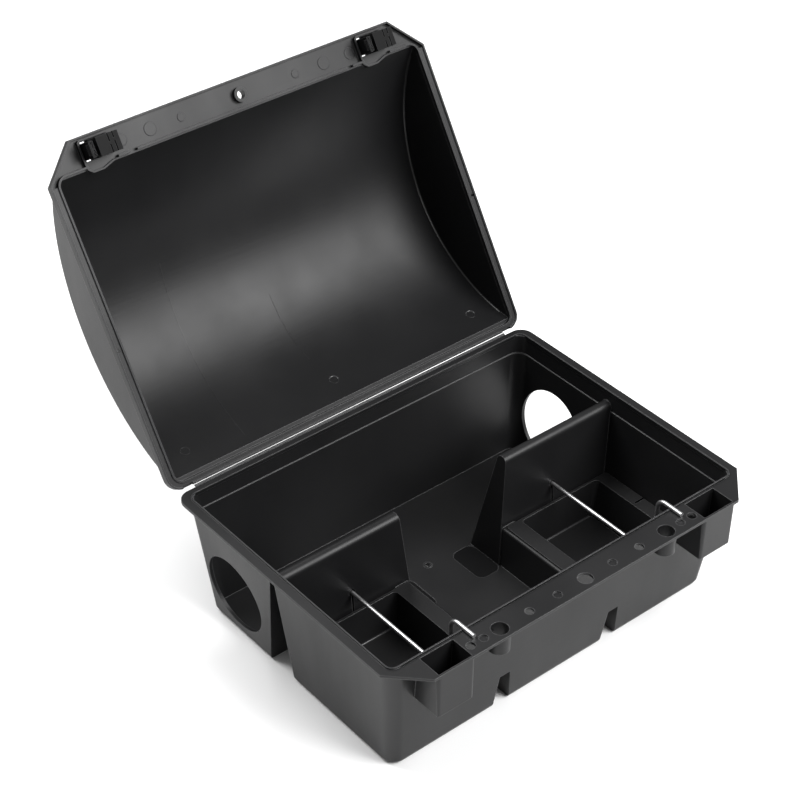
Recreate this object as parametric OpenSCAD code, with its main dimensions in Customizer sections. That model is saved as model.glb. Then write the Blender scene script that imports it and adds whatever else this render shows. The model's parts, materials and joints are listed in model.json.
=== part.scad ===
// Tamper-resistant rodent bait station: tub with a hinged barrel-vault lid, two lift-out
// trays, two wire bait rods and two key-released latches. Millimetres, +Z up, origin on
// the underside at the centre of the footprint, -Y towards the latches.

/* [Overall] */
// Width over the rim
rim_w = 310; // [300:1:316]
// Height of the tub, underside to rim
tub_h = 96; // [94:1:100]
// Opening angle the lid is shown at, 0 = shut
lid_angle = 122.7; // [0:0.1:122.7]
// Inner radius of the lid's barrel vault
vault_r = 132; // [130:1:136]
// Moulded wall thickness
wall = 2; // [1.8:0.1:2.2]

/* [Entrances] */
// Diameter of the two entrance holes
entrance_d = 58; // [50:1:60]
// Height of the entrance centre
entrance_z = 37; // [35:1:39]

/* [Bait rods] */
// Rod wire diameter
rod_d = 3; // [2.6:0.1:3.1]
// Distance of each rod from the centre line
rod_x = 90; // [88:0.5:90.5]

/* [Trays] */
// Depth of the bait trays
tray_depth = 30; // [24:1:30]

/* [Hidden] */
$fn = 48;
SIDES = [-1, 1];

// Rim outline
rim_front = -119;
rim_rear = 117.5;
rim_t = 2;
rim_chamfer = 23.5;
rim_corner = 10;

// Tub body, drafted from the floor to the rim
tub_mid_y = 7.1;
tub_floor = [rim_w - 28.8, 195.3];
tub_top = [rim_w - 10, 214.7];
tub_corner = 9;
step_z = tub_h - 13.5;
step_in = 0.6;
foot_heights = [0, 0.7, 3];
foot_insets = [1.9, 0.8, 0];

// Lip round the mouth of the tub
mouth = [rim_w - 15, 208.6];
mouth_mid_y = 7.3;
mouth_corner = 5;
lip_w = 0.9;
lip_h = 1.2;

// Folds between tunnel, channel and bays
fold_top = 89;
fold_r = 4.5;
fold_y = 19.8;
fold_front = 8;
fold_rear = 38.5;
fold_slot_r = 2.4;
ridge_top = 32.9;
ridge_in = [39, 42.3];
ridge_out = [57.5, 54.8];
ridge_rear = 13;
ridge_round = 2.2;

// Ledge features
ledge_y = -110.6;
port_r = 5.2;
dimple_x = [23.8, 85.4];
dimple_r = 3;
screw_x = [47.7, 95.9];
screw_r = 3.1;
tube_x = 72.2;
tube_r = 7.2;
tube_bore = 5.8;
tube_drop = 16;

// Screw hole in the channel floor
floor_hole_y = 40;
floor_hole_r = 1.7;
floor_ring_r = 3.2;

// Latch pocket in the ledge, and its catch rib
pocket_w = 30.4;
pocket_front = -117.5;
pocket_rear = -99.6;
pocket_h = 35;
pocket_draft = 1;
pocket_corner = 3;
catch_z = tub_h - 6;
catch_h = 2.2;
catch_depth = 1.5;

// Latch, from its own centre
latch_x = 114;
latch_y = -109;
latch_w = 23;
latch_d = 13;
latch_drop = 14.5;
block_x = [-5, 3.5];
fin_x = [[4.3, 7.2], [8, 11.5]];
hook_x = [-10.9, -9.6];
hook_half = 5.4;
key_slot = [4, 0.8];
ear_reach = 1;
barb_reach = 1.3;
barb_h = 2.5;
leaf_r = 7;
leaf_t = 0.8;
leaf_end = -7.35;
leaf_apex = [-9.7, -8.3];

// Lid, described shut
hinge_y = 119;
lid_grow = 0.5;
skirt_t = 1.3;
flange_z = tub_h + 3.5;
flange_t = 2;
seat_z = tub_h + 0.3;
vault_y = 6.5;
vault_z = tub_h - 78;
vault_end = [149, 145.5];
vault_corner = 4;
film_r = 0.7;
film_half = 138;
relief_w = 8;
housing_t = 1.2;
housing_round = 2.5;
land_z = tub_h + 1.4;
land_front = -94;
housing_clear = tub_h + lip_h + 0.4;
lid_row_y = -108;
lid_port = [3, 5.2];
vent_at = [153, 17];

// Rods
rod_r = rod_d / 2;
rod_z = 48;
rod_bend = 6.5;
rod_foot_bend = 4;
rod_tail_y = 24;
rod_riser_y = -86;
rod_tip_y = -107;
rod_top_z = tub_h + rod_r + 0.05;
rod_slot_w = 4.2;
rod_eye_r = 2.6;
rod_slit_w = 1.4;
rod_slit_foot = 28;

// Trays
tray_z = 34;
tray_flange_t = 1;
tray_wall = 1.3;
tray_x = [57, 130];
tray_y = [-86, 7];
tray_flange_x = [44.5, 141.2];
tray_flange_y = [-90, 9];
tray_corner = 3;
tray_gap = 0.4;
taper_about = [78, -39.5];
tray_taper = [0.9, 0.96];
tray_slot = [8.5, 1.4];
tray_slot_y = -29;

black = [0.06, 0.06, 0.065];
black_lid = [0.09, 0.09, 0.095];
black_tray = [0.11, 0.11, 0.115];
steel = [0.75, 0.75, 0.76];

// Points of an arc about a centre
function arc(cx, cy, r, from, to) =
  [for (a = [from:9:to]) [cx + r * cos(a), cy + r * sin(a)]];

// Rim outline grown outwards by g: chamfered front corners, rounded rear ones
function outline(g) = concat(
  [[-rim_w / 2 + rim_chamfer - g * 0.41, rim_front - g],
   [rim_w / 2 - rim_chamfer + g * 0.41, rim_front - g],
   [rim_w / 2 + g, rim_front + rim_chamfer - g * 0.41]],
  arc(rim_w / 2 - rim_corner, rim_rear - rim_corner, rim_corner + g, 0, 90),
  arc(-rim_w / 2 + rim_corner, rim_rear - rim_corner, rim_corner + g, 90, 180),
  [[-rim_w / 2 - g, rim_front + rim_chamfer - g * 0.41]]);

// Outside width and depth of the drafted tub at a height
function tub_size(z) = tub_floor + (tub_top - tub_floor) * z / tub_h;

// Children for the right-hand half as drawn, or mirrored to the left
module on_side(side) {
  mirror([side < 0 ? 1 : 0, 0, 0]) children();
}

// Rectangle with rounded corners, centred
module rounded(size, r) {
  offset(r = r) square([size[0] - 2 * r, size[1] - 2 * r], center = true);
}

// Profile drawn in the YZ plane, carried along X from x1 to x2
module along_x(x1, x2) {
  translate([x1, 0, 0]) rotate([90, 0, 90]) linear_extrude(x2 - x1) children();
}

// Profile drawn in the XZ plane, carried along Y from y1 to y2
module along_y(y1, y2) {
  translate([0, y2, 0]) rotate([90, 0, 0]) linear_extrude(y2 - y1) children();
}

// Upright round bar or hole
module post(x, y, z1, z2, r) {
  translate([x, y, z1]) cylinder(h = z2 - z1, r = r);
}

// Slab of the drafted tub between two heights, its sides moved inwards by in1 below and in2 above
module tub_slice(z1, in1, z2, in2) {
  low = tub_size(z1) - [2 * in1, 2 * in1];
  high = tub_size(z2) - [2 * in2, 2 * in2];
  translate([0, tub_mid_y, z1])
    linear_extrude(z2 - z1, slices = 1, scale = [high[0] / low[0], high[1] / low[1]])
    rounded(low, tub_corner);
}

// Outside of the tub, with a softened bottom edge
module tub_outer() {
  for (i = [0, 1])
    tub_slice(foot_heights[i], foot_insets[i], foot_heights[i + 1], foot_insets[i + 1]);
  tub_slice(foot_heights[2], foot_insets[2], tub_h, 0);
}

// Inside of the tub: the walls step outwards a little below the rim
module tub_inner() {
  tub_slice(wall, wall + step_in, step_z, wall + step_in);
  tub_slice(step_z - 0.01, wall, tub_h + 0.01, wall);
}

// Lip round the mouth
module mouth_lip() {
  translate([0, mouth_mid_y, tub_h - rim_t])
    linear_extrude(rim_t + lip_h)
      difference() {
        rounded([mouth[0] + 2 * lip_w, mouth[1] + 2 * lip_w], mouth_corner + lip_w);
        rounded(mouth, mouth_corner);
      }
}

// Latch pocket hanging from the ledge
module pocket_outer() {
  length = pocket_rear + 5 - rim_front;
  intersection() {
    along_y(rim_front, rim_front + length)
      polygon([[latch_x - pocket_w / 2, tub_h], [latch_x + pocket_w / 2, tub_h],
        [latch_x + pocket_w / 2 - pocket_draft, tub_h - pocket_h],
        [latch_x - pocket_w / 2 + pocket_draft, tub_h - pocket_h]]);
    // Rounds the two front corners
    translate([latch_x, rim_front + length, tub_h - pocket_h]) linear_extrude(pocket_h)
      rounded([pocket_w, 2 * length], pocket_corner);
  }
}

module pocket_inner() {
  half = pocket_w / 2 - wall;
  along_y(pocket_front, pocket_rear)
    polygon([[latch_x - half, tub_h + 0.01], [latch_x + half, tub_h + 0.01],
      [latch_x + half - pocket_draft, tub_h - pocket_h + wall],
      [latch_x - half + pocket_draft, tub_h - pocket_h + wall]]);
}

// Catch rib the hook locks under, on the pocket wall towards -X
module pocket_catch(x) {
  foot = x - pocket_w / 2 + 1;
  tip = x - pocket_w / 2 + wall + catch_depth;
  along_y(latch_y - 4, latch_y + 4)
    polygon([[foot, catch_z + 1], [tip, catch_z - catch_h + 0.8], [tip, catch_z - catch_h],
      [foot, catch_z - catch_h]]);
}

// Cross fold between the tunnel and one bay: an inverted U
module cross_fold() {
  intersection() {
    along_x(30, rim_w / 2) {
      polygon([[fold_front, 0], [fold_rear, 0], [fold_y + fold_r, fold_top - fold_r],
        [fold_y - fold_r, fold_top - fold_r]]);
      translate([fold_y, fold_top - fold_r]) circle(r = fold_r);
    }
    along_y(0, 50)
      polygon([[38.3, 0], [47.3, fold_top + 1], [rim_w / 2, fold_top + 1], [rim_w / 2, 0]]);
  }
}

module cross_fold_slot() {
  intersection() {
    along_x(30, rim_w / 2 + 5) {
      polygon([[fold_front + wall, -1], [fold_rear - wall, -1],
        [fold_y + fold_slot_r, fold_top - fold_r], [fold_y - fold_slot_r, fold_top - fold_r]]);
      translate([fold_y, fold_top - fold_r]) circle(r = fold_slot_r);
    }
    along_y(0, 50)
      polygon([[40.2, -1], [49.2, fold_top], [rim_w / 2 + 5, fold_top], [rim_w / 2 + 5, -1]]);
  }
}

// Low ridge between the channel and one bay, from the cross fold to the front wall
module ridge() {
  along_y(rim_front + 10, ridge_rear)
    offset(r = ridge_round) offset(delta = -ridge_round)
      polygon([[ridge_in[0], -5], [ridge_out[0], -5], [ridge_out[1], ridge_top], [ridge_in[1], ridge_top]]);
}

module ridge_slot() {
  along_y(rim_front, ridge_rear)
    polygon([[ridge_in[0] + wall, -1], [ridge_out[0] - wall, -1],
      [ridge_out[1] - 1.8, ridge_top - 4.9], [ridge_in[1] + 1.8, ridge_top - 4.9]]);
}

module folds() {
  intersection() {
    for (side = SIDES) on_side(side) {
      cross_fold();
      ridge();
    }
    tub_outer();
  }
}

// Shallow recess in the channel floor, open towards the ridge
module floor_recess() {
  translate([28.9, 21.5, wall - 0.4]) linear_extrude(1) rounded([20, 33], 6);
}

// Keyhole in the fold wall: an eye for the rod tail over a narrow slit
module rod_keyhole() {
  translate([rod_x, fold_y, rod_z]) rotate([90, 0, 0]) cylinder(h = fold_y - fold_front + 2, r = rod_eye_r);
  translate([rod_x - rod_slit_w / 2, fold_front - 2, rod_slit_foot])
    cube([rod_slit_w, fold_y - fold_front + 2, rod_z - rod_slit_foot]);
}

// Everything cut out of the tub on one side
module side_cuts() {
  cross_fold_slot();
  ridge_slot();
  floor_recess();
  rod_keyhole();
  // Notch the rod hook lies in, through the mouth lip
  translate([rod_x - rod_slot_w / 2, -100, tub_h]) cube([rod_slot_w, 5, 3]);
  // Entrance
  translate([100, 69.5, entrance_z]) rotate([0, 90, 0]) cylinder(h = 60, d = entrance_d, $fn = 96);
  for (x = screw_x) post(x, ledge_y, tub_h - 5, tub_h + 1, screw_r);
  for (x = dimple_x) post(x, ledge_y, tub_h - 1, tub_h + 1, dimple_r);
  post(tube_x, ledge_y, tub_h - tube_drop - 1, tub_h + 1, tube_bore);
  pocket_inner();
}

module base_shell() {
  color(black) difference() {
    union() {
      difference() {
        union() {
          tub_outer();
          translate([0, 0, tub_h - rim_t]) linear_extrude(rim_t) polygon(outline(0));
          for (side = SIDES) on_side(side) {
            pocket_outer();
            post(tube_x, ledge_y, tub_h - tube_drop, tub_h, tube_r);
          }
        }
        tub_inner();
      }
      folds();
      mouth_lip();
      post(0, floor_hole_y, 1, wall + 0.6, floor_ring_r);
    }
    for (side = SIDES) on_side(side) side_cuts();
    post(0, ledge_y, tub_h - 5, tub_h + 1, port_r);
    post(0, floor_hole_y, -1, 4, floor_hole_r);
  }
  color(black) for (side = SIDES) pocket_catch(side * latch_x);
}

// Solid of the vault, its skin moved inwards by inset
module vault(inset) {
  ends = [vault_end[0] + wall - inset, vault_end[1] + wall - inset];
  intersection() {
    translate([-rim_w / 2, vault_y, vault_z]) rotate([0, 90, 0])
      cylinder(h = rim_w, r = vault_r + wall - inset, $fn = 180);
    along_y(-130, 130)
      polygon([[-ends[0], tub_h], [ends[0], tub_h], [ends[1], tub_h + 60], [-ends[1], tub_h + 60]]);
    translate([0, vault_y, flange_z - (inset > 0 ? 1 : 0)]) linear_extrude(80)
      rounded([2 * ends[0], 2 * vault_r - 48 - 2 * inset], vault_corner - inset);
  }
}

// Outline of the latch housing from the latch centre, drawn inwards by t
module housing_outline(t) {
  offset(delta = -t) offset(r = housing_round) offset(delta = -housing_round)
    polygon([[10.6 + t, -8.2], [-13, -8.2], [-13, 8], [-12, 11.6], [-8.4, 14.5], [0, 14.5],
      [9, 11.6], [10.6 + t, 11.4]]);
}

// Space inside one latch housing, with the window its cap sits in
module housing_space() {
  translate([0, 0, seat_z - 1]) linear_extrude(flange_z - seat_z + 1) {
    housing_outline(housing_t);
    // Open end towards +X
    translate([8, -7]) square([4, 17.5]);
  }
  translate([-latch_w / 2, -latch_d / 2, flange_z - 1]) cube([latch_w, latch_d, 4]);
}

// Wall round one latch, bulging into the vault opening clear of the mouth lip
module housing_wall() {
  difference() {
    translate([0, 0, seat_z]) linear_extrude(flange_z + flange_t - seat_z) housing_outline(0);
    housing_space();
    translate([-20, -98.4 - latch_y, seat_z - 1]) cube([40, 10, housing_clear - seat_z + 1]);
  }
}

module lid_shut() {
  difference() {
    union() {
      translate([0, 0, flange_z]) linear_extrude(flange_t) polygon(outline(lid_grow));
      // Outer skirt, flush with the rim
      translate([0, 0, seat_z]) linear_extrude(flange_z + flange_t - seat_z)
        difference() {
          polygon(outline(lid_grow));
          polygon(outline(lid_grow - skirt_t));
        }
      // Inner lip outside the mouth lip
      translate([0, mouth_mid_y, seat_z]) linear_extrude(flange_z - seat_z + 1)
        difference() {
          rounded([mouth[0] + 2 * lip_w + 4, mouth[1] + 2 * lip_w + 4], mouth_corner + lip_w + 2);
          rounded([mouth[0] + 2 * lip_w + 1, mouth[1] + 2 * lip_w + 1], mouth_corner + lip_w + 0.5);
        }
      // Shallow land between skirt and inner lip, along the sides and the hinge edge
      intersection() {
        translate([0, 0, land_z]) linear_extrude(flange_z - land_z + 1)
          difference() {
            polygon(outline(lid_grow - skirt_t / 2));
            translate([0, mouth_mid_y])
              rounded([mouth[0] + 2 * lip_w + 3, mouth[1] + 2 * lip_w + 3], mouth_corner + lip_w + 2);
          }
        translate([-rim_w, land_front, land_z - 1]) cube([2 * rim_w, 2 * rim_w, 20]);
      }
      // Faint discs over the ledge screws
      for (side = SIDES) {
        post(side * 47.5, lid_row_y, flange_z - 0.4, flange_z + 1, 2.9);
        post(side * tube_x, lid_row_y, flange_z - 0.4, flange_z + 1, 4.6);
        post(side * 94.8, lid_row_y, flange_z - 0.4, flange_z + 1, 4);
      }
      post(0, lid_row_y, seat_z, flange_z + 1, lid_port[1]);
      vault(0);
    }
    vault(wall);
    for (side = SIDES) {
      post(side * vent_at[0], vent_at[1], seat_z - 1, flange_z + 5, 1.2);
      translate([side * latch_x, latch_y, 0]) housing_space();
      // Passage for the rod hook through the inner lip
      translate([side * rod_x - 2.6, -103, seat_z - 1]) cube([5.2, 9, flange_z - seat_z + 1]);
      // Relief beside the hinge film
      translate([side * (film_half + relief_w / 2) - relief_w / 2, rim_rear - 1.2, tub_h - 2])
        cube([relief_w, 4, flange_z - tub_h + 2]);
    }
    post(0, lid_row_y, seat_z - 1, flange_z + 5, lid_port[0]);
    // Skirt edge clear of the hinge film
    translate([-rim_w, rim_rear - 3, tub_h - 2]) cube([2 * rim_w, 8, 2 + film_r + 0.05]);
  }
  for (side = SIDES) translate([side * latch_x, latch_y, 0]) housing_wall();
}

// Carries a part of the lid from its shut place to the opening angle
module swung() {
  translate([0, hinge_y, tub_h]) rotate([-lid_angle, 0, 0]) translate([0, -hinge_y, -tub_h]) children();
}

module lid_shell() {
  color(black_lid) swung() lid_shut();
}

module hinge_film() {
  color(black) {
    translate([-film_half, hinge_y, tub_h]) rotate([0, 90, 0]) cylinder(h = 2 * film_half, r = film_r);
    translate([-film_half, rim_rear, tub_h - 0.7]) cube([2 * film_half, hinge_y - rim_rear, 0.7]);
  }
}

// Basin of the right-hand tray grown outwards by t, from its floor up to z2
module tray_basin(t, z2) {
  mid = [(tray_x[0] + tray_x[1]) / 2, (tray_y[0] + tray_y[1]) / 2];
  size = [tray_x[1] - tray_x[0] + 2 * t, tray_y[1] - tray_y[0] + 2 * t];
  translate([taper_about[0], taper_about[1], z2]) mirror([0, 0, 1])
    linear_extrude(z2 - tray_z + tray_depth + t, slices = 1, scale = tray_taper)
    translate([mid[0] - taper_about[0], mid[1] - taper_about[1]])
    rounded(size, tray_corner + t);
}

// Right-hand tray: a drafted basin hanging in a flat flange
module tray() {
  flange = [tray_flange_x[1] - tray_flange_x[0], tray_flange_y[1] - tray_flange_y[0]];
  color(black_tray) difference() {
    union() {
      intersection() {
        translate([tray_flange_x[0], tray_flange_y[0], tray_z - tray_flange_t])
          linear_extrude(tray_flange_t) translate(flange / 2) rounded(flange, tray_corner);
        // Keeps the flange clear of the tub's drafted walls and round corner
        tub_slice(tray_z - 2, wall + step_in + tray_gap, tray_z + 1, wall + step_in + tray_gap);
      }
      tray_basin(tray_wall, tray_z);
    }
    tray_basin(0, tray_z + 0.01);
    // Slot across the outer flange
    translate([tray_flange_x[1] - tray_slot[0], tray_slot_y - tray_slot[1] / 2, tray_z - 2])
      cube([tray_slot[0] + 1, tray_slot[1], 4]);
  }
}

module tray_left() {
  on_side(-1) tray();
}

module tray_right() {
  tray();
}

// Quarter bend of wire in the YZ plane about (y, z), starting at angle a
module bend(y, z, a, r) {
  translate([0, y, z]) rotate([90, 0, 90]) rotate([0, 0, a])
    rotate_extrude(angle = 90) translate([r, 0]) circle(r = rod_r, $fn = 32);
}

// Straight tail, quarter bend, riser, top bend and the end that rests on the ledge
module bait_rod(x) {
  color(steel) translate([x, 0, 0]) {
    translate([0, rod_riser_y + rod_foot_bend, rod_z]) rotate([-90, 0, 0])
      cylinder(h = rod_tail_y - rod_riser_y - rod_foot_bend, r = rod_r, $fn = 32);
    bend(rod_riser_y + rod_foot_bend, rod_z + rod_foot_bend, 180, rod_foot_bend);
    translate([0, rod_riser_y, rod_z + rod_foot_bend])
      cylinder(h = rod_top_z - rod_z - rod_foot_bend - rod_bend, r = rod_r, $fn = 32);
    bend(rod_riser_y - rod_bend, rod_top_z - rod_bend, 0, rod_bend);
    translate([0, rod_riser_y - rod_bend, rod_top_z]) rotate([90, 0, 0])
      cylinder(h = rod_riser_y - rod_bend - rod_tip_y, r = rod_r, $fn = 32);
  }
}

module bait_rod_left() {
  bait_rod(-rod_x);
}

module bait_rod_right() {
  bait_rod(rod_x);
}

// Latch carrier: cap in the lid flange over a solid block and two fins
module latch_body(x) {
  low = flange_z - latch_drop;
  color(black_lid) swung() translate([x, latch_y, 0]) difference() {
    union() {
      translate([-latch_w / 2, -latch_d / 2, flange_z]) cube([latch_w, latch_d, flange_t]);
      for (span = concat([block_x], fin_x))
        translate([span[0], -latch_d / 2, low]) cube([span[1] - span[0], latch_d, latch_drop + 0.5]);
      // Lugs that tie the fins together
      translate([block_x[1] - 0.5, -1, low]) cube([1.8, 2, latch_drop + 0.5]);
      translate([fin_x[0][1] - 0.5, -2.4, low]) cube([1.8, 1.6, latch_drop + 0.5]);
    }
    // Key slots beside the ears of the hook
    for (side = SIDES)
      translate([hook_x[1], side * 6.1 - key_slot[1] / 2, flange_z - 1]) cube([key_slot[0], key_slot[1], 5]);
    // Slits beside the fins, carried on through the cap
    for (side = SIDES)
      translate([block_x[1], side * 3.9 - 2.7, flange_z - 1]) cube([fin_x[0][0] - block_x[1], 5.4, 5]);
    translate([fin_x[0][1], -0.6, flange_z - 1]) cube([fin_x[1][0] - fin_x[0][1], 6.8, 5]);
  }
}

// Sliding hook: a plate with an ear at each end and a barb that locks under the catch rib
module latch_hook(x) {
  low = flange_z - latch_drop;
  color(black_lid) swung() translate([x, latch_y, low]) {
    translate([hook_x[0], -hook_half, 0]) cube([hook_x[1] - hook_x[0], 2 * hook_half, latch_drop - 0.3]);
    for (side = SIDES)
      translate([hook_x[0], side * (hook_half - 0.5) - 0.5, 0])
        cube([hook_x[1] - hook_x[0] + ear_reach, 1, latch_drop - 0.3]);
    along_y(-3.6, 3.6)
      polygon([[hook_x[1] - 0.5, 0], [hook_x[1] - 0.5, barb_h], [hook_x[0] - barb_reach, barb_h],
        [hook_x[0] - barb_reach, barb_h - 1]]);
  }
}

// Two nested curved leaves behind the hook plate, tied at the middle
module latch_leaves(x) {
  low = flange_z - latch_drop;
  color(black_lid) swung() translate([x, latch_y, low + 0.4]) linear_extrude(latch_drop - 1) {
    for (apex = leaf_apex)
      intersection() {
        translate([apex + leaf_r, 0]) difference() {
          circle(r = leaf_r);
          circle(r = leaf_r - leaf_t);
        }
        translate([apex - 1, -leaf_r]) square([leaf_end - apex + 1, 2 * leaf_r]);
      }
    translate([leaf_apex[0] + 0.5, -0.6]) square([leaf_apex[1] - leaf_apex[0] - 0.2, 1.2]);
  }
}

module latch_left_body() {
  latch_body(-latch_x);
}

module latch_left_hook() {
  latch_hook(-latch_x);
}

module latch_left_leaves() {
  latch_leaves(-latch_x);
}

module latch_right_body() {
  latch_body(latch_x);
}

module latch_right_hook() {
  latch_hook(latch_x);
}

module latch_right_leaves() {
  latch_leaves(latch_x);
}

base_shell();
lid_shell();
hinge_film();
tray_left();
tray_right();
bait_rod_left();
bait_rod_right();
latch_left_body();
latch_left_hook();
latch_left_leaves();
latch_right_body();
latch_right_hook();
latch_right_leaves();
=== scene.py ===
import json
import math

import bpy
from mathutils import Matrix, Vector
from mathutils.bvhtree import BVHTree


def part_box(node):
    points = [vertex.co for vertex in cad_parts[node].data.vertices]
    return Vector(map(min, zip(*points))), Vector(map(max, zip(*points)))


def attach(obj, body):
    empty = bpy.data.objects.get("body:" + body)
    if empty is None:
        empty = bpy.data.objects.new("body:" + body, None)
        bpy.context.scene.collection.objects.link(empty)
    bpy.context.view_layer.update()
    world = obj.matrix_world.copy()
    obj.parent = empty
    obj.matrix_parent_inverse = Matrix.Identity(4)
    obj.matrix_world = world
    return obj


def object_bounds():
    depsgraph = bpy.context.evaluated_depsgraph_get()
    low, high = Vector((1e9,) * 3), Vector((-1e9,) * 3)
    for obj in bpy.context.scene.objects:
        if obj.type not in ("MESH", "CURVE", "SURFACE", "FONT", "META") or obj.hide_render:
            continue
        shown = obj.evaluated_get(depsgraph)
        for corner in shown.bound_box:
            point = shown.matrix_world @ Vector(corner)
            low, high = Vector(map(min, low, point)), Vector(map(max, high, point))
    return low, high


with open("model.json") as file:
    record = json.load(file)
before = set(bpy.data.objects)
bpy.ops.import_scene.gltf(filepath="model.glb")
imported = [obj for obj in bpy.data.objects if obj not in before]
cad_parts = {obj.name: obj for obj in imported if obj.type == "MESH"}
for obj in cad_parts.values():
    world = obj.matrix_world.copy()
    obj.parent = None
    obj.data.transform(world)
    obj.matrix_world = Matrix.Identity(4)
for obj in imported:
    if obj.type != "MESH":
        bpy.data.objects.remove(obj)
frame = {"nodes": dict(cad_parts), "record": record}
rest_lo, rest_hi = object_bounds()


# ---------------------------------------------------------------- materials
def new_material(name):
    mat = bpy.data.materials.new(name)
    mat.use_nodes = True
    tree = mat.node_tree
    tree.nodes.clear()
    out = tree.nodes.new("ShaderNodeOutputMaterial")
    skin = tree.nodes.new("ShaderNodeBsdfPrincipled")
    tree.links.new(skin.outputs["BSDF"], out.inputs["Surface"])
    return mat, tree, skin


def noise(tree, coords, scale, detail, rough=0.5, stretch=(1, 1, 1)):
    mapping = tree.nodes.new("ShaderNodeMapping")
    mapping.inputs["Scale"].default_value = stretch
    tree.links.new(coords, mapping.inputs["Vector"])
    tex = tree.nodes.new("ShaderNodeTexNoise")
    tex.inputs["Scale"].default_value = scale
    tex.inputs["Detail"].default_value = detail
    tex.inputs["Roughness"].default_value = rough
    tree.links.new(mapping.outputs["Vector"], tex.inputs["Vector"])
    return tex.outputs["Fac"]


def remap(tree, value, from_lo, from_hi, to_lo, to_hi):
    node = tree.nodes.new("ShaderNodeMapRange")
    node.inputs["From Min"].default_value = from_lo
    node.inputs["From Max"].default_value = from_hi
    node.inputs["To Min"].default_value = to_lo
    node.inputs["To Max"].default_value = to_hi
    tree.links.new(value, node.inputs["Value"])
    return node.outputs["Result"]


def mixed_colour(tree, fac, dark, light):
    node = tree.nodes.new("ShaderNodeMix")
    node.data_type = "RGBA"
    node.inputs["A"].default_value = (*dark, 1)
    node.inputs["B"].default_value = (*light, 1)
    tree.links.new(fac, node.inputs["Factor"])
    return node.outputs["Result"]


def bumped(tree, height, strength, distance, base=None):
    node = tree.nodes.new("ShaderNodeBump")
    node.inputs["Strength"].default_value = strength
    node.inputs["Distance"].default_value = distance
    tree.links.new(height, node.inputs["Height"])
    if base is not None:
        tree.links.new(base, node.inputs["Normal"])
    return node.outputs["Normal"]


def soft_edges(tree, radius):
    node = tree.nodes.new("ShaderNodeBevel")
    node.samples = 4
    node.inputs["Radius"].default_value = radius
    return node.outputs["Normal"]


def edge_highlight(tree, sharp, soft, strength):
    """Painted highlight on convex edges: compares the true normal with one rounded over a small radius."""
    rounded = soft_edges(tree, sharp)
    geometry = tree.nodes.new("ShaderNodeNewGeometry")
    dot = tree.nodes.new("ShaderNodeVectorMath")
    dot.operation = "DOT_PRODUCT"
    tree.links.new(rounded, dot.inputs[0])
    tree.links.new(geometry.outputs["Normal"], dot.inputs[1])
    return remap(tree, dot.outputs["Value"], 1.0, soft, 0, strength)


def moulded_plastic(name, dark, light, rough_lo, rough_hi, grain, edge, shine):
    """Injection-moulded polypropylene: cloudy flow marks, drag lines, a fine grain and a painted highlight on
    convex edges.
    """
    mat, tree, skin = new_material(name)
    at = tree.nodes.new("ShaderNodeTexCoord").outputs["Object"]
    cloud = noise(tree, at, 9, 3)
    drag = noise(tree, at, 16, 5, 0.6, stretch=(1, 1, 0.25))
    lines = noise(tree, at, 420, 2, 0.5, stretch=(0.05, 1, 1))
    fine = noise(tree, at, 2600, 2)
    body = mixed_colour(tree, remap(tree, cloud, 0.3, 0.7, 0, 1), dark, light)
    painted_edge_highlight = tree.nodes.new("ShaderNodeMix")
    painted_edge_highlight.data_type = "RGBA"
    # light grey mixed into the colour along convex edges: painted highlight
    painted_edge_highlight.inputs["B"].default_value = (0.11, 0.11, 0.113, 1)
    tree.links.new(body, painted_edge_highlight.inputs["A"])
    tree.links.new(edge_highlight(tree, edge, 0.85, 0.9), painted_edge_highlight.inputs["Factor"])
    tree.links.new(painted_edge_highlight.outputs["Result"], skin.inputs["Base Color"])
    tree.links.new(remap(tree, drag, 0.3, 0.7, rough_lo, rough_hi), skin.inputs["Roughness"])
    wave = bumped(tree, cloud, 0.05, 0.0006, soft_edges(tree, edge))
    drawn = bumped(tree, lines, 0.25, 0.00012, wave)
    tree.links.new(bumped(tree, fine, grain, 0.00008, drawn), skin.inputs["Normal"])
    skin.inputs["IOR"].default_value = 1.49
    skin.inputs["Specular IOR Level"].default_value = shine
    return mat


def drawn_wire(name):
    """Drawn steel wire with fine lines along its length."""
    mat, tree, skin = new_material(name)
    at = tree.nodes.new("ShaderNodeTexCoord").outputs["Object"]
    lines = noise(tree, at, 900, 2, stretch=(1, 0.04, 0.04))
    cloud = noise(tree, at, 60, 3)
    tree.links.new(mixed_colour(tree, cloud, (0.5, 0.5, 0.51), (0.66, 0.66, 0.66)), skin.inputs["Base Color"])
    tree.links.new(remap(tree, lines, 0.3, 0.7, 0.34, 0.46), skin.inputs["Roughness"])
    tree.links.new(bumped(tree, cloud, 0.05, 0.00005), skin.inputs["Normal"])
    skin.inputs["Metallic"].default_value = 1
    return mat


FINISH = {
    "tub_plastic": moulded_plastic("tub_plastic", (0.0075, 0.0075, 0.008), (0.012, 0.012, 0.0125),
                                   0.34, 0.46, 0.3, 0.0008, 0.31),
    "lid_plastic": moulded_plastic("lid_plastic", (0.006, 0.006, 0.0065), (0.009, 0.009, 0.0095),
                                   0.31, 0.43, 0.25, 0.0007, 0.27),
    "tray_plastic": moulded_plastic("tray_plastic", (0.008, 0.008, 0.0085), (0.013, 0.013, 0.0135),
                                    0.36, 0.5, 0.3, 0.0006, 0.34),
    "latch_plastic": moulded_plastic("latch_plastic", (0.002, 0.002, 0.0022), (0.0035, 0.0035, 0.0037),
                                     0.42, 0.55, 0.2, 0.0003, 0.1),
    "rod_steel": drawn_wire("rod_steel"),
}
for part in frame["record"]["subparts"]:
    mesh = frame["nodes"][part["node"]].data
    mesh.materials.clear()
    mesh.materials.append(FINISH[part["material_slot"]])
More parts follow.
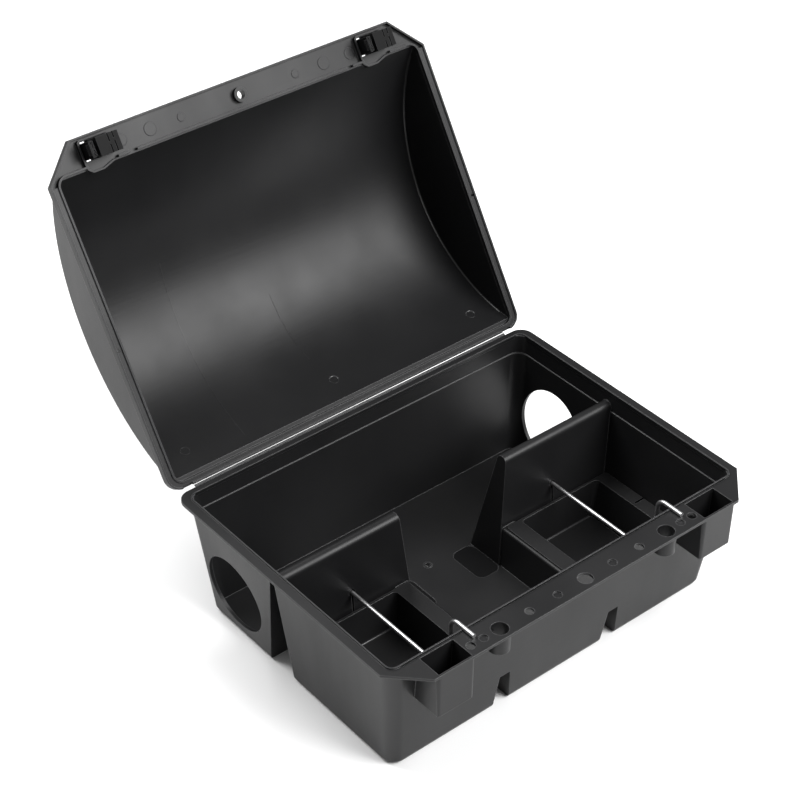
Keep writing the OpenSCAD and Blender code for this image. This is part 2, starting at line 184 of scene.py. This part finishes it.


# ---------------------------------------------------------------- small moulding marks, painted shade and painted highlights
def flat_patch(name, outline, place, mat, rides):
    """Thin skin, one face, laid a hair above a moulded surface."""
    mesh = bpy.data.meshes.new(name)
    mesh.from_pydata([place(u, v) for u, v in outline], [], [tuple(range(len(outline)))])
    mesh.materials.append(mat)
    obj = bpy.data.objects.new(name, mesh)
    bpy.context.collection.objects.link(obj)
    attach(obj, rides)
    return obj


def round_rect(x0, x1, y0, y1, r, steps=6):
    """Outline of a rectangle with round corners, anticlockwise."""
    left, right, near, far = x0 + r, x1 - r, y0 + r, y1 - r
    points = []
    for cx, cy, start in ((right, far, 0), (left, far, 90), (left, near, 180), (right, near, 270)):
        for k in range(steps + 1):
            turn = math.radians(start + 90 * k / steps)
            points.append((cx + r * math.cos(turn), cy + r * math.sin(turn)))
    return points


# darker, matt skin laid on the recess floors beside the folds: painted shade in the recesses
matt_painted_shade = moulded_plastic("matt_painted_shade", (0.0025, 0.0025, 0.0028), (0.004, 0.004, 0.0043),
                             0.5, 0.6, 0.5, 0.0002, 0.12)
# floor of the shallow recess beside each fold, above the underside of the tub
RECESS_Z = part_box("base_shell")[0].z + 0.00164
for side, name in ((1, "recess_shade_right"), (-1, "recess_shade_left")):
    flat_patch(name, round_rect(0.0192, 0.0384, 0.0052, 0.0378, 0.0058),
               lambda u, v, side=side: (side * u, v, RECESS_Z), matt_painted_shade, "tub")


def skin_of(node):
    """Search tree over a node's faces, read only, for laying marks on its surface."""
    mesh = frame["nodes"][node].data
    corners = [v.co.copy() for v in mesh.vertices]
    return BVHTree.FromPolygons(corners, [tuple(p.vertices) for p in mesh.polygons])


def strip(name, rows, mat, rides):
    """Open skin through rows of points, every row the same length."""
    wide = len(rows[0])
    faces = []
    for k in range(len(rows) - 1):
        for n in range(wide - 1):
            a = wide * k + n
            faces.append((a, a + 1, a + wide + 1, a + wide))
    mesh = bpy.data.meshes.new(name)
    mesh.from_pydata([tuple(v) for row in rows for v in row], [], faces)
    mesh.materials.append(mat)
    for face in mesh.polygons:
        face.use_smooth = True
    obj = bpy.data.objects.new(name, mesh)
    bpy.context.collection.objects.link(obj)
    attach(obj, rides)
    return obj


# how far a skin stands off the surface under it
HAIR = 0.00002

hinge = next(j for j in frame["record"]["behaviour"]["joints"] if j["name"] == "lid_hinge")
HINGE = Vector(hinge["pos_m"])
OPEN_ANGLE = math.radians(hinge["range_deg"][0])
lid_lo, lid_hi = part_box("lid_shell")
LID_MIDDLE, LID_WIDTH = (lid_lo.x + lid_hi.x) / 2, lid_hi.x - lid_lo.x
LID_SKIN = skin_of("lid_shell")


def opened(y, z):
    """Turns a direction given for the shut lid to where it points with the lid open."""
    c, n = math.cos(OPEN_ANGLE), math.sin(OPEN_ANGLE)
    return Vector((0, y * c - z * n, y * n + z * c))


# the vault is part of a round barrel whose axis lies in front of the hinge and below it
BARREL_AXIS = HINGE + opened(-0.1125, -0.078)


def spoke(turn):
    """Direction out from the barrel's axis, in degrees towards the hinge from the crown."""
    return opened(math.sin(math.radians(turn)), math.cos(math.radians(turn)))


def on_axis(x):
    return Vector((x, BARREL_AXIS.y, BARREL_AXIS.z))


def vault_radius(x, turn):
    """Distance from the barrel's axis to the inner skin of the lid."""
    return LID_SKIN.ray_cast(on_axis(x), spoke(turn))[3]


BARREL_R = vault_radius(LID_MIDDLE, 0)


def on_vault(x, turn, lift):
    """Point on the inner skin, lifted off it by lift."""
    return on_axis(x) + spoke(turn) * (vault_radius(x, turn) - lift)


def vault_line(name, path, width, height, mat):
    """Low ridge on the vault through points (x, turn)."""
    rows = []
    for k, (x, turn) in enumerate(path):
        x0, t0 = path[max(k - 1, 0)]
        x1, t1 = path[min(k + 1, len(path) - 1)]
        dx, dt = x1 - x0, math.radians(t1 - t0) * BARREL_R
        size = math.hypot(dx, dt)
        across = (-dt / size * width, math.degrees(dx / size * width / BARREL_R))
        rows.append([on_vault(x + side * across[0], turn + side * across[1], lift)
                     for side, lift in ((-1, HAIR), (0, height), (1, HAIR))])
    return strip(name, rows, mat, "lid")


def ring_path(x, turn, radius, start, end, steps=28):
    """Arc of a small circle on the vault, in degrees round its centre."""
    path = []
    for k in range(steps + 1):
        t = math.radians(start + (end - start) * k / steps)
        path.append((x + radius * math.cos(t), turn + math.degrees(radius * math.sin(t) / BARREL_R)))
    return path


# lighter, glossier plastic for painted highlights: the lit arc of each pin ring and the fillet along each
# tray's floor
painted_highlight_plastic = moulded_plastic("painted_highlight_plastic", (0.02, 0.02, 0.021), (0.05, 0.05, 0.052),
                               0.2, 0.32, 0.1, 0.0001, 0.5)
faint_plastic = moulded_plastic("faint_plastic", (0.006, 0.006, 0.0065), (0.012, 0.012, 0.0125),
                                0.3, 0.4, 0.1, 0.0001, 0.35)
# lighter, glossier plastic on the barrel fillets: painted highlight along the rounded edges
fillet_highlight_plastic = moulded_plastic("fillet_highlight_plastic", (0.012, 0.012, 0.0125), (0.02, 0.02, 0.0205),
                                 0.24, 0.34, 0.1, 0.0001, 0.5)

# ejector pins: one in the middle of the lid and one near each end, close to the hinge
PIN_TURN, PIN_R, PIN_SHARE = 44, 0.0033, 0.41
for share, name in ((0, "middle"), (PIN_SHARE, "right"), (-PIN_SHARE, "left")):
    x = LID_MIDDLE + share * LID_WIDTH
    vault_line("pin_ring_" + name, ring_path(x, PIN_TURN, PIN_R, 0, 360), 0.00035, 0.0002, faint_plastic)
    if share >= 0:
        # lit arc of the pin ring in a lighter colour: painted highlight
        crescent = ring_path(x, PIN_TURN, PIN_R, -150, 20)
        vault_line("pin_lit_crescent_" + name, crescent, 0.0005, 0.0005, painted_highlight_plastic)

# two drag marks running round the barrel
bowed, slanted = [], []
for k in range(13):
    bow = 0.016 + 0.0045 * math.sin(math.pi * k / 12)
    bowed.append((LID_MIDDLE - LID_WIDTH * bow, 10 + 2 * k))
    slanted.append((LID_MIDDLE - LID_WIDTH * (0.25 + 0.0018 * k), -12 + 5 * k))
vault_line("drag_mark", bowed, 0.0003, 0.00016, faint_plastic)
vault_line("drag_mark_faint", slanted, 0.0003, 0.00008, faint_plastic)

FILLET = 0.0012


def quarter(centre, start, end):
    """Points of a quarter circle round centre, from direction start to direction end."""
    row = []
    for degrees in range(0, 91, 15):
        t = math.radians(degrees)
        row.append(centre + (start * math.cos(t) + end * math.sin(t)) * (FILLET - HAIR))
    return row


# small fillet where the barrel meets each end wall, in a lighter colour: painted highlight along the edge
for side, name in ((1, "right"), (-1, "left")):
    outward = Vector((side, 0, 0))
    rows = []
    for turn in range(-48, 49, 3):
        inside = on_axis(LID_MIDDLE + side * 0.3 * LID_WIDTH) + spoke(turn) * (BARREL_R - FILLET)
        wall = LID_SKIN.ray_cast(inside, outward)[0]
        rows.append(quarter(wall - outward * FILLET, outward, spoke(turn)))
    strip("barrel_fillet_" + name, rows, fillet_highlight_plastic, "lid")

# small fillet where each tray's floor meets its back wall, in a lighter colour: painted highlight along the
# junction
DOWN, BACK, RIGHT = Vector((0, 0, -1)), Vector((0, 1, 0)), Vector((1, 0, 0))
for node, body in (("tray_right", "right_tray"), ("tray_left", "left_tray")):
    tray_lo, tray_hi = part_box(node)
    tray_skin = skin_of(node)
    start = (tray_lo + tray_hi) / 2
    start.z = tray_hi.z
    bottom = tray_skin.ray_cast(start, DOWN)[0] - DOWN * FILLET
    corner = tray_skin.ray_cast(bottom, BACK)[0] - BACK * FILLET
    left_end = tray_skin.ray_cast(corner, -RIGHT)[0].x
    right_end = tray_skin.ray_cast(corner, RIGHT)[0].x
    rows = []
    for k in range(13):
        x = left_end + (right_end - left_end) * k / 12
        rows.append(quarter(Vector((x, corner.y, corner.z)), DOWN, BACK))
    strip("floor_fillet_" + node, rows, painted_highlight_plastic, body)


# ---------------------------------------------------------------- studio
def plane(name, half, height):
    mesh = bpy.data.meshes.new(name)
    corners = [(-half, -half, height), (half, -half, height), (half, half, height), (-half, half, height)]
    mesh.from_pydata(corners, [], [(0, 1, 2, 3)])
    obj = bpy.data.objects.new(name, mesh)
    bpy.context.collection.objects.link(obj)
    return obj


floor = plane("studio_floor", 12, rest_lo.z - 0.0003)
floor_mat, _, floor_skin = new_material("studio_floor")
floor_skin.inputs["Base Color"].default_value = (0.96, 0.96, 0.96, 1)
floor_skin.inputs["Roughness"].default_value = 0.7
floor_skin.inputs["Specular IOR Level"].default_value = 0.2
floor.data.materials.append(floor_mat)

world = bpy.data.worlds.new("studio")
bpy.context.scene.world = world
world.use_nodes = True
sky = world.node_tree.nodes["Background"]
sky.inputs["Color"].default_value = (1, 1, 1, 1)
sky.inputs["Strength"].default_value = 0.28

middle = (rest_lo + rest_hi) / 2


def softbox(name, azimuth, elevation, distance, width, height, power, spread):
    """Area light round the object: azimuth 0 is in front (-Y), 90 is to the right (+X)."""
    a, e = math.radians(azimuth), math.radians(elevation)
    data = bpy.data.lights.new(name, "AREA")
    data.shape = "ELLIPSE"
    data.size, data.size_y, data.energy = width, height, power
    data.spread = math.radians(spread)
    obj = bpy.data.objects.new(name, data)
    bpy.context.collection.objects.link(obj)
    towards = Vector((math.sin(a) * math.cos(e), -math.cos(a) * math.cos(e), math.sin(e)))
    obj.location = middle + distance * towards
    obj.rotation_euler = (middle - obj.location).to_track_quat("-Z", "Y").to_euler()


softbox("key", 31, 42, 1.5, 1.3, 1.1, 11.5, 100)
softbox("fill", -165, 50, 1.8, 1.6, 1.6, 22, 120)

# ---------------------------------------------------------------- camera
AZIMUTH, ELEVATION = -39.08, 39.91
cam_data = bpy.data.cameras.new("camera")
cam = bpy.data.objects.new("camera", cam_data)
bpy.context.collection.objects.link(cam)
a, e = math.radians(AZIMUTH), math.radians(ELEVATION)
cam.rotation_euler = (math.pi / 2 - e, 0, a)
cam_data.sensor_width = 36
cam_data.lens = 89.14
cam_data.shift_x, cam_data.shift_y = 0.0359, 0.1179
cam.location = Vector((-0.6855, -0.7411, 0.9356))
bpy.context.scene.camera = cam
bpy.context.scene.view_settings.view_transform = "Standard"
